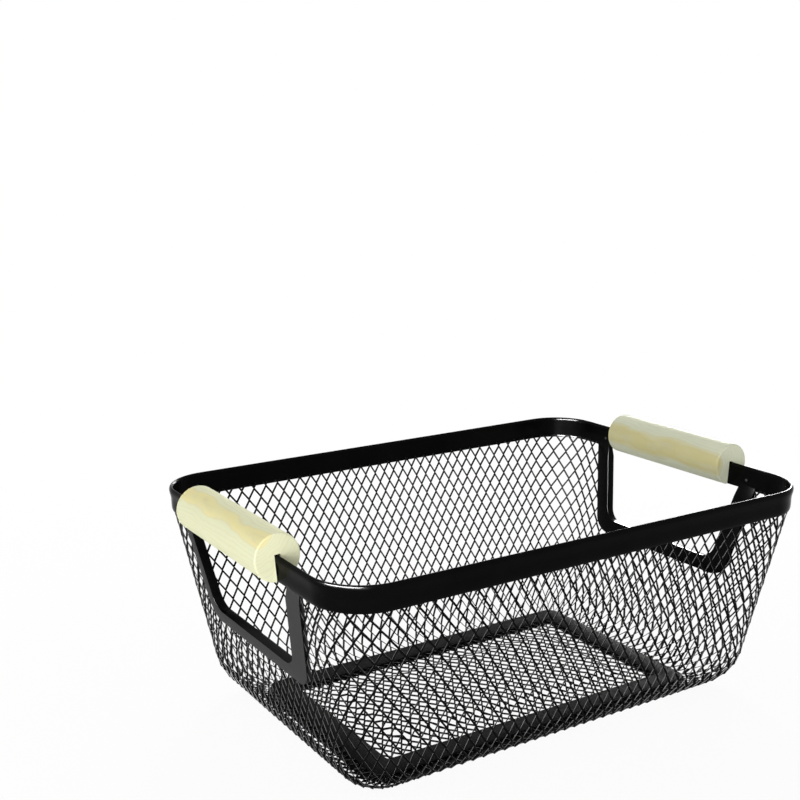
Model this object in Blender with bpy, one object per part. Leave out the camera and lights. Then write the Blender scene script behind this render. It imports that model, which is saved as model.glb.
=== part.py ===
"""A black wire storage basket with two wooden grips.

The basket is a tapered tray of expanded-metal mesh, a steel sheet slit and stretched into diamonds.
The wall is one strip of mesh bent round the four corners and curved in under the basket.
A folded steel band covers its top edge all the way round and runs on through the two grips.
Each end has a hand opening, whose cut mesh edge is covered by a folded U-shaped strip.
Below, two flat strips clamp the turned-in edge of the wall and the edge of the base mesh.

All lengths are in metres. +X is the long side, +Z is up, and the origin is on the floor
under the middle of the basket.
"""

import math

import bmesh
import bpy
from mathutils import Matrix, Vector

# Overall sizes, over the rim band
basket_length = 0.310
basket_width = 0.223
basket_height = 0.127
rim_corner_radius = 0.029

# Sheet and wire
sheet_thickness = 0.0004
flat_strip_thickness = 0.0008
mesh_thickness = 0.0007
clearance = 0.0003
overrun = 0.004

# Folded band round the top edge
rim_thickness = 0.0024
rim_outer_height = 0.014
rim_inner_height = 0.0118
rim_lean = 0.0012
rim_waist = 0.0004
rim_curl = 0.0003
rim_waist_share = 0.42
rim_bulge_share = 0.72
rim_curl_share = 0.94

# Wall mesh
wall_lean = 0.0212
foot_corner_radius = 0.022
foot_rounding = 0.027
floor_corner_radius = 0.008
tuck_corner_radius = 0.002
wall_mesh_tuck = 0.008
wall_mesh_seat = 0.003
wall_strand_width = 0.0015
wall_diamonds_round = 52
wall_steps_on_face = 6
wall_steps_on_rounding = 3

# Strips and mesh of the base
base_strip_width = 0.0137
base_strip_reach = 0.003
base_strip_inner_radius = 0.002
lower_strip_overhang = 0.004
lower_strip_corner_radius = 0.018
base_mesh_overlap = 0.008
base_strand_width = 0.0015
base_diamonds_long = 10
base_diamonds_across = 4
plateau_margin = 0.020
plateau_slope_width = 0.005
plateau_height = 0.002

# Hand openings in the two ends
opening_top_width = 0.116
opening_bottom_width = 0.094
opening_bottom_height = 0.066
opening_corner_radius = 0.006
frame_strip_width = 0.0115
frame_corner_radius = 0.012
frame_depth = 0.0042

# Wooden grips
grip_length = 0.098
grip_diameter = 0.025
grip_axis_drop = 0.0015
grip_chamfer = 0.001

# Facets of the round shapes
rim_corner_segments = 10
strip_corner_segments = 5
opening_corner_segments = 4
rim_top_segments = 4
grip_segments = 48

# Sizes that follow from the ones above
half_length = basket_length / 2
half_width = basket_width / 2
rim_bottom_height = basket_height - rim_outer_height
rim_middle_inset = rim_thickness / 2
slot_width = rim_thickness - 2 * sheet_thickness
wall_floor_height = flat_strip_thickness + clearance + mesh_thickness / 2
base_floor_height = wall_floor_height + mesh_thickness + clearance
upper_strip_height = base_floor_height + mesh_thickness / 2 + clearance
wall_slope = (wall_lean - rim_lean) / (rim_bottom_height - wall_floor_height)
wall_angle = math.atan(wall_slope)
rounding_top_height = wall_floor_height + foot_rounding
mesh_top_height = rim_bottom_height + wall_mesh_seat
floor_inset = rim_middle_inset + wall_lean + foot_rounding
strip_half_length = half_length - floor_inset + base_strip_reach
strip_half_width = half_width - floor_inset + base_strip_reach
strip_inner_half_length = strip_half_length - base_strip_width
strip_inner_half_width = strip_half_width - base_strip_width
top_of_opening = (rim_bottom_height - opening_bottom_height) / math.cos(wall_angle)
grip_axis_height = basket_height - grip_axis_drop


def clear_scene():
    """Removes what a new file starts with."""
    for thing in list(bpy.data.objects):
        bpy.data.objects.remove(thing, do_unlink=True)


def make_material(name, colour, roughness, metallic):
    """A Principled material for one sub-part."""
    material = bpy.data.materials.new(name)
    material.use_nodes = True
    surface = material.node_tree.nodes["Principled BSDF"]
    surface.inputs["Base Color"].default_value = (*colour, 1)
    surface.inputs["Roughness"].default_value = roughness
    surface.inputs["Metallic"].default_value = metallic
    material.diffuse_color = (*colour, 1)
    return material


def black_powder_coat(name):
    return make_material(name, (0.012, 0.012, 0.013), 0.38, 0)


def pale_wood(name):
    return make_material(name, (0.80, 0.74, 0.47), 0.5, 0)


def object_from_bmesh(name, mesh_builder, material):
    """Turns a bmesh into a named object with its faces pointing out."""
    bmesh.ops.recalc_face_normals(mesh_builder, faces=mesh_builder.faces)
    mesh = bpy.data.meshes.new(name)
    mesh_builder.to_mesh(mesh)
    mesh_builder.free()
    if material is not None:
        mesh.materials.append(material)
    thing = bpy.data.objects.new(name, mesh)
    bpy.context.collection.objects.link(thing)
    return thing


def hide_cutter(thing):
    """A cutter is drawn as wires and left out of the model."""
    thing.hide_render = True
    thing.display_type = "WIRE"


def cut(thing, cutter):
    modifier = thing.modifiers.new("cut", "BOOLEAN")
    modifier.operation = "DIFFERENCE"
    modifier.solver = "EXACT"
    modifier.object = cutter


def smooth(thing, limit_degrees):
    """Shades round surfaces smooth and keeps the edges sharper than the limit."""
    thing.data.shade_smooth()
    thing.data.set_sharp_from_angle(angle=math.radians(limit_degrees))


def outline_point(half_x, half_y, radius, segment, part):
    """A point of a rounded rectangle. Segments 0 to 7 are a side and a corner by turns, from +X round."""
    corner_x = (half_x - radius, -(half_x - radius), -(half_x - radius), half_x - radius)
    corner_y = (half_y - radius, half_y - radius, -(half_y - radius), -(half_y - radius))
    quarter = segment // 2
    if segment % 2:
        angle = (quarter + part) * math.pi / 2
        return (corner_x[quarter] + radius * math.cos(angle), corner_y[quarter] + radius * math.sin(angle))
    outward = ((1, 0), (0, 1), (-1, 0), (0, -1))[quarter]
    before = quarter - 1
    x = corner_x[before] + (corner_x[quarter] - corner_x[before]) * part + radius * outward[0]
    y = corner_y[before] + (corner_y[quarter] - corner_y[before]) * part + radius * outward[1]
    return (x, y)


def rounded_outline(half_x, half_y, radius, segments):
    """The corners of a rounded rectangle as a list of points, counterclockwise."""
    points = []
    for corner in (1, 3, 5, 7):
        for step in range(segments + 1):
            points.append(outline_point(half_x, half_y, radius, corner, step / segments))
    return points


def place_on_outline(distance, half_x, half_y, radius):
    """The segment and the part of it that lie a distance along a rounded rectangle's outline."""
    side_y = 2 * (half_y - radius)
    side_x = 2 * (half_x - radius)
    corner = radius * math.pi / 2
    lengths = (side_y, corner, side_x, corner) * 2
    left = distance % sum(lengths)
    for segment, length in enumerate(lengths):
        if left <= length:
            return segment, left / length
        left -= length
    return 7, 1


def wall_inset(height):
    """How far the middle of the wall mesh lies inside the rim's top edge at a height."""
    if height >= rim_bottom_height:
        return rim_middle_inset + rim_lean * (basket_height - height) / rim_outer_height
    return rim_middle_inset + rim_lean + wall_slope * (rim_bottom_height - height)


def rim_profile():
    """The folded band's section as (inset from the outer face, height) points, round from the slot."""
    radius = rim_thickness / 2
    top = basket_height - radius
    points = []
    outer_steps = (
        (rim_curl, 1),
        (0, rim_curl_share),
        (0, rim_bulge_share),
        (rim_waist, rim_waist_share),
        (0, radius / rim_outer_height),
    )
    for inset, down_share in outer_steps:
        points.append((inset, basket_height - rim_outer_height * down_share))
    for step in range(1, rim_top_segments):
        angle = math.pi * step / rim_top_segments
        points.append((radius - radius * math.cos(angle), top + radius * math.sin(angle)))
    points.append((rim_thickness, top))
    points.append((rim_thickness, basket_height - rim_inner_height))
    points.append((rim_thickness - sheet_thickness, basket_height - rim_inner_height))
    points.append((rim_thickness - sheet_thickness, top))
    points.append((sheet_thickness + rim_waist, top))
    points.append((sheet_thickness + rim_waist, basket_height - rim_outer_height * rim_waist_share))
    points.append((sheet_thickness, basket_height - rim_outer_height * rim_bulge_share))
    points.append((sheet_thickness + rim_curl, rim_bottom_height))
    return points


def make_rim_band():
    """Sweeps the folded section round the rim, leaning with the wall."""
    builder = bmesh.new()
    rings = []
    for inset, height in rim_profile():
        lean = rim_lean * (basket_height - height) / rim_outer_height
        total = inset + lean
        outline = rounded_outline(
            half_length - total, half_width - total, rim_corner_radius - total, rim_corner_segments
        )
        rings.append([builder.verts.new((x, y, height)) for x, y in outline])
    for index, ring in enumerate(rings):
        following = rings[(index + 1) % len(rings)]
        for place in range(len(ring)):
            beyond = (place + 1) % len(ring)
            builder.faces.new((ring[place], ring[beyond], following[beyond], following[place]))
    band = object_from_bmesh("rim_band", builder, black_powder_coat("rim_black"))
    smooth(band, 35)
    return band


def make_net(name, point_at, half_columns, half_rows, closed, hole_share, material):
    """A sheet of diamonds: nodes at every other grid point, each joined to its four neighbours.

    point_at gives the place of any grid point, whole or in between. Each node is a small diamond
    and each strand runs between the facing edges of two of them, so the holes have clean corners.
    """
    builder = bmesh.new()
    nodes = {}
    last_column = half_columns if closed else half_columns + 1
    tips = ((hole_share, 0), (0, hole_share), (-hole_share, 0), (0, -hole_share))
    for column in range(last_column):
        for row in range(half_rows + 1):
            if (column + row) % 2 == 0:
                corners = [builder.verts.new(point_at(column + dx, row + dy)) for dx, dy in tips]
                builder.faces.new(corners)
                nodes[column, row] = corners
    for (column, row), corners in nodes.items():
        beyond = (column + 1) % half_columns if closed else column + 1
        right, up, left, down = corners
        above = nodes.get((beyond, row + 1))
        if above:
            builder.faces.new((right, above[3], above[2], up))
        below = nodes.get((beyond, row - 1))
        if below:
            builder.faces.new((down, below[2], below[1], right))
    net = object_from_bmesh(name, builder, material)
    sheet = net.modifiers.new("sheet", "SOLIDIFY")
    sheet.thickness = mesh_thickness
    sheet.offset = 0
    sheet.use_even_offset = True
    return net


def wall_row_height_and_tuck(row):
    """The height, and the extra inset of the rounding and the tuck, at a row counted from the tuck."""
    steps_above_floor = row - 1
    if steps_above_floor < 0:
        return wall_floor_height, foot_rounding - steps_above_floor * wall_mesh_tuck
    if steps_above_floor < wall_steps_on_rounding:
        angle = steps_above_floor / wall_steps_on_rounding * math.pi / 2
        height = wall_floor_height + foot_rounding * (1 - math.cos(angle))
        return height, foot_rounding * (1 - math.sin(angle))
    step_height = (mesh_top_height - rounding_top_height) / wall_steps_on_face
    return rounding_top_height + (steps_above_floor - wall_steps_on_rounding) * step_height, 0


def wall_point(column, row):
    """A point of the wall mesh: columns run up the wall, rows go round it."""
    height, rounding = wall_row_height_and_tuck(row)
    inset = wall_inset(height) + rounding
    rise_share = (height - wall_floor_height) / (basket_height - wall_floor_height)
    radius = foot_corner_radius + (rim_corner_radius - rim_middle_inset - foot_corner_radius) * rise_share
    turned_share = min(1, rounding / foot_rounding)
    radius += (floor_corner_radius - radius) * turned_share
    if rounding > foot_rounding:
        radius = max(floor_corner_radius - (rounding - foot_rounding), tuck_corner_radius)
    middle_inset = wall_inset((basket_height + wall_floor_height) / 2)
    middle_half_x = half_length - middle_inset
    middle_half_y = half_width - middle_inset
    middle_radius = (rim_corner_radius + foot_corner_radius) / 2
    straight = 4 * (middle_half_x - middle_radius) + 4 * (middle_half_y - middle_radius)
    around = straight + 2 * math.pi * middle_radius
    distance = around * column / (2 * wall_diamonds_round) + middle_half_y - middle_radius
    segment, part = place_on_outline(distance, middle_half_x, middle_half_y, middle_radius)
    x, y = outline_point(half_length - inset, half_width - inset, radius, segment, part)
    return Vector((x, y, height))


def diamond_hole_share(strand_width, half_diamond_width, half_diamond_height):
    """How much of a diamond's half width the strands take at its corner."""
    slant = math.hypot(half_diamond_width, half_diamond_height)
    return strand_width / 2 * slant / (half_diamond_width * half_diamond_height)


def make_wall_mesh():
    half_diamond_width = (basket_length + basket_width) / (2 * wall_diamonds_round)
    half_diamond_height = (mesh_top_height - rounding_top_height) / wall_steps_on_face
    share = diamond_hole_share(wall_strand_width, half_diamond_width, half_diamond_height)
    half_rows = wall_steps_on_face + wall_steps_on_rounding + 1
    net = make_net(
        "wall_mesh",
        wall_point,
        2 * wall_diamonds_round,
        half_rows,
        True,
        share,
        black_powder_coat("wall_black"),
    )
    return net


def base_point(column, row):
    """A point of the base mesh, which is pressed up inside a margin along the strips."""
    half_x = strip_inner_half_length + base_mesh_overlap
    half_y = strip_inner_half_width + base_mesh_overlap
    x = half_x * (column / base_diamonds_long - 1)
    y = half_y * (row / base_diamonds_across - 1)
    inside_x = strip_inner_half_length - plateau_margin - abs(x)
    inside_y = strip_inner_half_width - plateau_margin - abs(y)
    pressed = min(1, max(0, min(inside_x, inside_y) / plateau_slope_width + 1))
    return Vector((x, y, base_floor_height + plateau_height * pressed))


def make_base_mesh():
    half_diamond_width = (strip_inner_half_length + base_mesh_overlap) / base_diamonds_long
    half_diamond_height = (strip_inner_half_width + base_mesh_overlap) / base_diamonds_across
    share = diamond_hole_share(base_strand_width, half_diamond_width, half_diamond_height)
    return make_net(
        "base_mesh",
        base_point,
        2 * base_diamonds_long,
        2 * base_diamonds_across,
        False,
        share,
        black_powder_coat("base_black"),
    )


def make_base_strip(name, bottom_height, overhang, corner_radius):
    """A flat ring that clamps the edges of the two meshes, and may reach out beyond them."""
    builder = bmesh.new()
    rings = []
    outlines = (
        rounded_outline(
            strip_half_length + overhang, strip_half_width + overhang, corner_radius, strip_corner_segments
        ),
        rounded_outline(
            strip_inner_half_length, strip_inner_half_width, base_strip_inner_radius, strip_corner_segments
        ),
    )
    outer, inner = outlines
    top_height = bottom_height + flat_strip_thickness
    for outline, height in ((outer, bottom_height), (outer, top_height), (inner, top_height), (inner, bottom_height)):
        rings.append([builder.verts.new((x, y, height)) for x, y in outline])
    for index, ring in enumerate(rings):
        following = rings[(index + 1) % len(rings)]
        for place in range(len(ring)):
            beyond = (place + 1) % len(ring)
            builder.faces.new((ring[place], ring[beyond], following[beyond], following[place]))
    return object_from_bmesh(name, builder, black_powder_coat(name + "_black"))


def opening_outline(spread, radius, top):
    """The hand opening's outline in the wall's plane, open at the top, spread outwards by a distance.

    Points are (along the end, up the wall from the opening's bottom edge), from one top end to the other.
    The radius is that of the two lower corners.
    """
    rise = top_of_opening
    side_slant = (opening_top_width - opening_bottom_width) / 2 / rise
    side_length = math.hypot(1, side_slant)
    bottom = -spread

    def side_at(up):
        return opening_bottom_width / 2 + side_slant * up + spread * side_length

    corner_angle = math.pi / 2 - math.atan(side_slant)
    setback = radius * math.tan(corner_angle / 2)
    centre_along = side_at(bottom) - setback
    points = [(side_at(top), top)]
    for step in range(opening_corner_segments + 1):
        angle = corner_angle * step / opening_corner_segments
        turn = -math.atan(side_slant) - angle
        points.append((centre_along + radius * math.cos(turn), bottom + radius + radius * math.sin(turn)))
    mirrored = [(-along, up) for along, up in reversed(points)]
    return points + mirrored


def wall_plane(side):
    """Local x is out through the end wall, y along it and z up its slope, from the opening's bottom edge."""
    x = half_length - wall_inset(opening_bottom_height)
    turn = Matrix.Rotation(wall_angle, 4, "Y")
    place = Matrix.Translation((x, 0, opening_bottom_height)) @ turn
    if side < 0:
        return Matrix.Rotation(math.pi, 4, "Z") @ place
    return place


def make_plate(name, outline, thickness, side, material):
    """A plate in an end wall's plane, centred on the mesh, with the given outline."""
    builder = bmesh.new()
    faces = []
    layers = []
    for offset in (-thickness / 2, thickness / 2):
        layers.append([builder.verts.new((offset, along, up)) for along, up in outline])
    faces.append(builder.faces.new(layers[0]))
    faces.append(builder.faces.new(layers[1]))
    for place in range(len(outline)):
        beyond = (place + 1) % len(outline)
        builder.faces.new((layers[0][place], layers[0][beyond], layers[1][beyond], layers[1][place]))
    plate = object_from_bmesh(name, builder, material)
    plate.matrix_world = wall_plane(side)
    return plate


def make_window_frame(name, side):
    """The folded strip round a hand opening: a U-shaped plate, hollowed by the slot that holds the mesh."""
    top = top_of_opening - clearance
    inner = opening_outline(0, opening_corner_radius, top)
    outer = opening_outline(frame_strip_width, frame_corner_radius, top)
    frame = make_plate(name, outer + inner[::-1], frame_depth, side, black_powder_coat(name + "_black"))
    slot_top = top + overrun
    slot_inner = opening_outline(sheet_thickness, opening_corner_radius + sheet_thickness, slot_top)
    slot_outer = opening_outline(frame_strip_width + overrun, frame_corner_radius, slot_top)
    slot = make_plate(name + "_slot_cutter", slot_outer + slot_inner[::-1], slot_width, side, None)
    hide_cutter(slot)
    cut(frame, slot)
    return frame


def cut_opening(wall, side):
    """Cuts the mesh back to the inside of the frame's fold."""
    top = top_of_opening + rim_outer_height
    spread = sheet_thickness + clearance
    outline = opening_outline(spread, opening_corner_radius + spread, top)
    cutter = make_plate("opening_cutter", outline, rim_thickness + 2 * overrun, side, None)
    hide_cutter(cutter)
    cut(wall, cutter)


def make_grip(name, side):
    """A wooden dowel, slotted from below to sit over the rim band."""
    builder = bmesh.new()
    radius = grip_diameter / 2
    sections = (
        (-grip_length / 2, radius - grip_chamfer),
        (grip_chamfer - grip_length / 2, radius),
        (grip_length / 2 - grip_chamfer, radius),
        (grip_length / 2, radius - grip_chamfer),
    )
    rings = []
    for along, size in sections:
        ring = []
        for step in range(grip_segments):
            angle = 2 * math.pi * step / grip_segments
            ring.append(builder.verts.new((size * math.cos(angle), along, size * math.sin(angle))))
        rings.append(ring)
    for before, after in zip(rings, rings[1:]):
        for place in range(grip_segments):
            beyond = (place + 1) % grip_segments
            builder.faces.new((before[place], before[beyond], after[beyond], after[place]))
    builder.faces.new(rings[0])
    builder.faces.new(rings[-1])
    grip = object_from_bmesh(name, builder, pale_wood(name + "_wood"))
    axis_inset = rim_middle_inset + rim_lean * grip_axis_drop / rim_outer_height
    grip.location = (side * (half_length - axis_inset), 0, grip_axis_height)

    slot_depth = rim_outer_height + clearance + overrun
    slot_builder = bmesh.new()
    bmesh.ops.create_cube(slot_builder, size=1)
    slot_size = (rim_thickness + 2 * clearance, grip_length + 2 * overrun, slot_depth)
    bmesh.ops.scale(slot_builder, vec=slot_size, verts=slot_builder.verts)
    slot = object_from_bmesh(name + "_slot_cutter", slot_builder, None)
    slot_middle_height = basket_height + clearance - slot_depth / 2
    slot_lean = rim_lean * (basket_height - slot_middle_height) / rim_outer_height
    slot.location = (side * (half_length - rim_middle_inset - slot_lean), 0, slot_middle_height)
    slot.rotation_euler = (0, side * math.atan(rim_lean / rim_outer_height), 0)
    hide_cutter(slot)
    cut(grip, slot)
    smooth(grip, 35)
    return grip


def build_basket():
    clear_scene()
    make_rim_band()
    wall = make_wall_mesh()
    make_base_mesh()
    make_base_strip("base_strip_lower", 0, lower_strip_overhang, lower_strip_corner_radius)
    make_base_strip("base_strip_upper", upper_strip_height, 0, floor_corner_radius)
    for side, word in ((-1, "left"), (1, "right")):
        make_window_frame("window_frame_" + word, side)
        cut_opening(wall, side)
        make_grip("grip_" + word, side)


build_basket()
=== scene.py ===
# %% [markdown]
# # A black wire basket with wooden grips
#
# The basket is a tapered tray of expanded metal: steel sheet that is slit in rows and pulled
# apart until the slits open into diamonds. Folded steel strips cover its cut edges, two flat
# strips clamp the floor to the wall, and a slotted dowel sits on the rim at each end.
#
# The construction model gives every piece its size and place, and it stays underneath. Here each
# piece is modelled again at its full fineness, and gets its finish.

import math

import bpy
from mathutils import Matrix, Vector


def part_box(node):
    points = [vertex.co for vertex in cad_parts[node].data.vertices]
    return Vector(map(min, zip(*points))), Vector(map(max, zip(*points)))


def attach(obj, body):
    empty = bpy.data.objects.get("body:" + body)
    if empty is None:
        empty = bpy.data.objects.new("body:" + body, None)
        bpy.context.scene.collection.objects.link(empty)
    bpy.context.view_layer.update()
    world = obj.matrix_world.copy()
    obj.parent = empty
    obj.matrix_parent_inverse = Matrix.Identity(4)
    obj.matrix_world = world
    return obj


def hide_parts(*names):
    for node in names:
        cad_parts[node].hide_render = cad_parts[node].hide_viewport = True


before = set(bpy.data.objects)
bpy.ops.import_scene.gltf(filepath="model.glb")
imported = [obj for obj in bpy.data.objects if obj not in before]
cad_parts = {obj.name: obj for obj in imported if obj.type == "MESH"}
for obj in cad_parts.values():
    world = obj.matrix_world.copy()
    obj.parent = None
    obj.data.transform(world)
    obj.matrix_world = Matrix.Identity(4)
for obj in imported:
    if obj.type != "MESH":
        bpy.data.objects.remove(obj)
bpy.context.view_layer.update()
print("nodes:", sorted(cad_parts))

# %% [markdown]
# ## Sizes
#
# What can be read from the construction model is read from it, so the pieces fit whatever size it
# has. The rest are the sizes that a box can't tell: radii, sheet thicknesses and the mesh's pitch.

# %% Sizes from the model
millimetre = 0.001

rim_low, rim_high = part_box("rim_band")
strip_low, strip_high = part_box("base_strip_upper")
grip_low, grip_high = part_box("grip_right")
wall_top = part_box("wall_mesh")[1].z
base_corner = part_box("base_mesh")[1]

half_length = rim_high.x
half_width = rim_high.y
basket_height = rim_high.z
rim_bottom = rim_low.z
rim_drop = basket_height - rim_bottom
strip_half_length = strip_high.x
strip_half_width = strip_high.y
strip_thickness = strip_high.z - strip_low.z
grip_radius = (grip_high.z - grip_low.z) / 2
grip_length = grip_high.y - grip_low.y
grip_centre = (grip_low + grip_high) / 2
print("rim", half_length * 2, "by", half_width * 2, "at", basket_height)

# %% Sizes that are chosen
rim_radius = 29 * millimetre
rim_thickness = 2.4 * millimetre
rim_inner_drop = 11.8 * millimetre
rim_lean = 1.2 * millimetre
sheet_thickness = 0.4 * millimetre
mesh_thickness = 0.7 * millimetre
clearance = 0.3 * millimetre
same_place = 0.02 * millimetre
wall_lean = 23.0 * millimetre
foot_radius = 19 * millimetre
foot_rounding = 22.6 * millimetre
floor_radius = 8 * millimetre
tuck_radius = 2 * millimetre
wall_tuck = 11 * millimetre
strip_width = 13.7 * millimetre
strip_inner_radius = 2 * millimetre
opening_top_width = 116 * millimetre
opening_bottom_width = 94 * millimetre
opening_bottom = 66.5 * millimetre
opening_radius = 10 * millimetre
frame_strip_width = 11.5 * millimetre
frame_corner_radius = 12 * millimetre
frame_bottom_width = 9 * millimetre
frame_depth = 5.2 * millimetre

wall_floor = strip_thickness + clearance + mesh_thickness / 2
base_floor = wall_floor + mesh_thickness + clearance
wall_slope = (wall_lean - rim_lean) / (rim_bottom - wall_floor)
wall_angle = math.atan(wall_slope)
rounding_top = wall_floor + foot_rounding
print("the wall leans by", round(math.degrees(wall_angle), 1), "degrees")

# %% [markdown]
# ## Working as by hand
#
# Every piece starts as one of Blender's primitives and is shaped with the same operators that the
# menus call. These few helpers save repeating their housekeeping: switching modes, selecting by
# place, and applying a modifier as soon as it is set up.

# %% Modes, names and modifiers
smooth_angle = math.radians(40)


def deselect_all():
    bpy.ops.object.select_all(action="DESELECT")


def edit_mode():
    bpy.ops.object.mode_set(mode="EDIT")


def object_mode():
    bpy.ops.object.mode_set(mode="OBJECT")


def take_new(name):
    """Names the object that the last operator added, and its mesh."""
    piece = bpy.context.object
    piece.name = name
    piece.data.name = name
    return piece


def make_active(piece):
    deselect_all()
    piece.select_set(True)
    bpy.context.view_layer.objects.active = piece


def apply_modifier(piece, name, kind, **settings):
    """Adds one modifier, sets it up and applies it."""
    make_active(piece)
    modifier = piece.modifiers.new(name, kind)
    for key, value in settings.items():
        setattr(modifier, key, value)
    bpy.ops.object.modifier_apply(modifier=modifier.name)


def settle(piece):
    """Puts the object's place into its mesh, and shades its round parts smooth."""
    make_active(piece)
    bpy.ops.object.transform_apply(location=True, rotation=True, scale=True)
    bpy.ops.object.shade_smooth_by_angle(angle=smooth_angle)


# %% Picking faces by place
def delete_faces(piece, wanted):
    """Deletes the faces whose centre and normal pass a test, and counts them."""
    make_active(piece)
    edit_mode()
    bpy.ops.mesh.select_mode(type="FACE")
    bpy.ops.mesh.select_all(action="DESELECT")
    object_mode()
    for face in piece.data.polygons:
        face.select = bool(wanted(face.center, face.normal))
    count = sum(face.select for face in piece.data.polygons)
    edit_mode()
    bpy.ops.mesh.delete(type="FACE")
    object_mode()
    return count


# %% Flat outlines
def rounded_rectangle(name, half_x, half_y, radius, height, segments):
    """A flat rounded rectangle: a plane, sized, raised and bevelled at its four corners."""
    bpy.ops.mesh.primitive_plane_add(size=2)
    piece = take_new(name)
    edit_mode()
    bpy.ops.transform.resize(value=(half_x, half_y, 1))
    bpy.ops.transform.translate(value=(0, 0, height))
    bpy.ops.mesh.bevel(offset=radius, segments=segments, affect="VERTICES")
    object_mode()
    return piece


def bridge_outlines(outer, inner):
    """Joins two outlines into one flat ring, by bridging their loops."""
    deselect_all()
    inner.select_set(True)
    outer.select_set(True)
    bpy.context.view_layer.objects.active = outer
    bpy.ops.object.join()
    edit_mode()
    bpy.ops.mesh.select_all(action="SELECT")
    bpy.ops.mesh.delete(type="ONLY_FACE")
    bpy.ops.mesh.select_mode(type="EDGE")
    bpy.ops.mesh.select_all(action="SELECT")
    bpy.ops.mesh.bridge_edge_loops()
    bpy.ops.mesh.select_mode(type="FACE")
    object_mode()
    return outer


# %% [markdown]
# ## The black finish
#
# The steel is powder-coated: fine powder is blown on and baked until it flows into a skin. It
# never flows quite flat, and the faint waves left in it, called orange peel, break up every
# reflection. The rim is the glossiest piece and the mesh the dullest. The outward flat faces of
# the hand openings' frames are painted a lighter satin grey than the rest of the same coat: a
# painted sheen, for the bright surroundings they reflect. The strands' cut edges get a greyer
# coat, partly because the coat lies thinner there and partly as a painted glint, for the light
# they catch. One node group makes the waves, the slight patchiness and a trace of dust, and each
# coat uses it with its own colour and roughness.

# %% Helpers for materials
def new_group(name, inputs, outputs):
    """An empty node group with its sockets, given as names and kinds."""
    group = bpy.data.node_groups.new(name, "ShaderNodeTree")
    for direction, sockets in (("INPUT", inputs), ("OUTPUT", outputs)):
        for socket, kind in sockets.items():
            kind = "NodeSocket" + kind
            group.interface.new_socket(name=socket, in_out=direction, socket_type=kind)
    return group


def set_or_link(links, socket, value):
    """Feeds a socket from another one, or sets it to a plain number, vector or colour."""
    if isinstance(value, (int, float, tuple)):
        socket.default_value = value
    else:
        links.new(value, socket)


def math_node(nodes, links, operation, *values):
    node = nodes.new("ShaderNodeMath")
    node.operation = operation
    for socket, value in zip(node.inputs, values):
        set_or_link(links, socket, value)
    return node.outputs["Value"]


def vector_node(nodes, links, operation, *values):
    node = nodes.new("ShaderNodeVectorMath")
    node.operation = operation
    for socket, value in zip(node.inputs, values):
        set_or_link(links, socket, value)
    return node.outputs["Value" if operation == "LENGTH" else "Vector"]


def noise_node(nodes, links, vector, scale, detail):
    noise = nodes.new("ShaderNodeTexNoise")
    links.new(vector, noise.inputs["Vector"])
    set_or_link(links, noise.inputs["Scale"], scale)
    noise.inputs["Detail"].default_value = detail
    return noise.outputs["Fac"]


def mix_colours(nodes, links, amount, first, second):
    mix = nodes.new("ShaderNodeMix")
    mix.data_type = "RGBA"
    links.new(amount, mix.inputs["Factor"])
    links.new(first, mix.inputs["A"])
    set_or_link(links, mix.inputs["B"], second)
    return mix.outputs["Result"]


def new_material(name):
    material = bpy.data.materials.new(name)
    material.use_nodes = True
    return material, material.node_tree.nodes, material.node_tree.links


def add_bump(nodes, links, height, surface, strength, distance):
    bump = nodes.new("ShaderNodeBump")
    bump.inputs["Strength"].default_value = strength
    bump.inputs["Distance"].default_value = distance
    links.new(height, bump.inputs["Height"])
    links.new(bump.outputs["Normal"], surface.inputs["Normal"])


# %% A node group for orange peel
wave_scale = 900
patch_scale = 60
roughness_spread = 0.06
dust_amount = 0.1
dust_colour = (0.02, 0.02, 0.02, 1)


def make_orange_peel_group():
    group = new_group(
        "orange_peel",
        inputs={"Base Roughness": "Float", "Colour": "Color"},
        outputs={"Colour": "Color", "Roughness": "Float", "Height": "Float"},
    )
    nodes, links = group.nodes, group.links
    given = nodes.new("NodeGroupInput").outputs
    outputs = nodes.new("NodeGroupOutput")
    place = nodes.new("ShaderNodeTexCoord").outputs["Object"]

    waves = noise_node(nodes, links, place, wave_scale, 2)
    links.new(waves, outputs.inputs["Height"])

    patches = noise_node(nodes, links, place, patch_scale, 3)
    base = given["Base Roughness"]
    roughness = math_node(nodes, links, "MULTIPLY_ADD", patches, roughness_spread, base)
    links.new(roughness, outputs.inputs["Roughness"])

    dust = math_node(nodes, links, "MULTIPLY", patches, dust_amount)
    colour = mix_colours(nodes, links, dust, given["Colour"], dust_colour)
    links.new(colour, outputs.inputs["Colour"])
    return group


orange_peel = make_orange_peel_group()
print("orange peel:", len(orange_peel.nodes), "nodes")

# %% A black coat for each kind of piece
peel_strength = 0.15
peel_depth = 0.05 * millimetre


def black_coat(name, grey, roughness, specular):
    """A coat of one grey, from 0 for black, under the orange peel's unevenness."""
    material, nodes, links = new_material(name)
    surface = nodes["Principled BSDF"]
    peel = nodes.new("ShaderNodeGroup")
    peel.node_tree = orange_peel
    peel.inputs["Base Roughness"].default_value = roughness
    peel.inputs["Colour"].default_value = (grey, grey, grey, 1)
    links.new(peel.outputs["Colour"], surface.inputs["Base Color"])
    links.new(peel.outputs["Roughness"], surface.inputs["Roughness"])
    surface.inputs["Specular IOR Level"].default_value = specular
    add_bump(nodes, links, peel.outputs["Height"], surface, peel_strength, peel_depth)
    return material


rim_black = black_coat("rim_black", grey=0.001, roughness=0.15, specular=0.02)
mesh_black = black_coat("mesh_black", grey=0.0025, roughness=0.50, specular=0.004)
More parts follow.
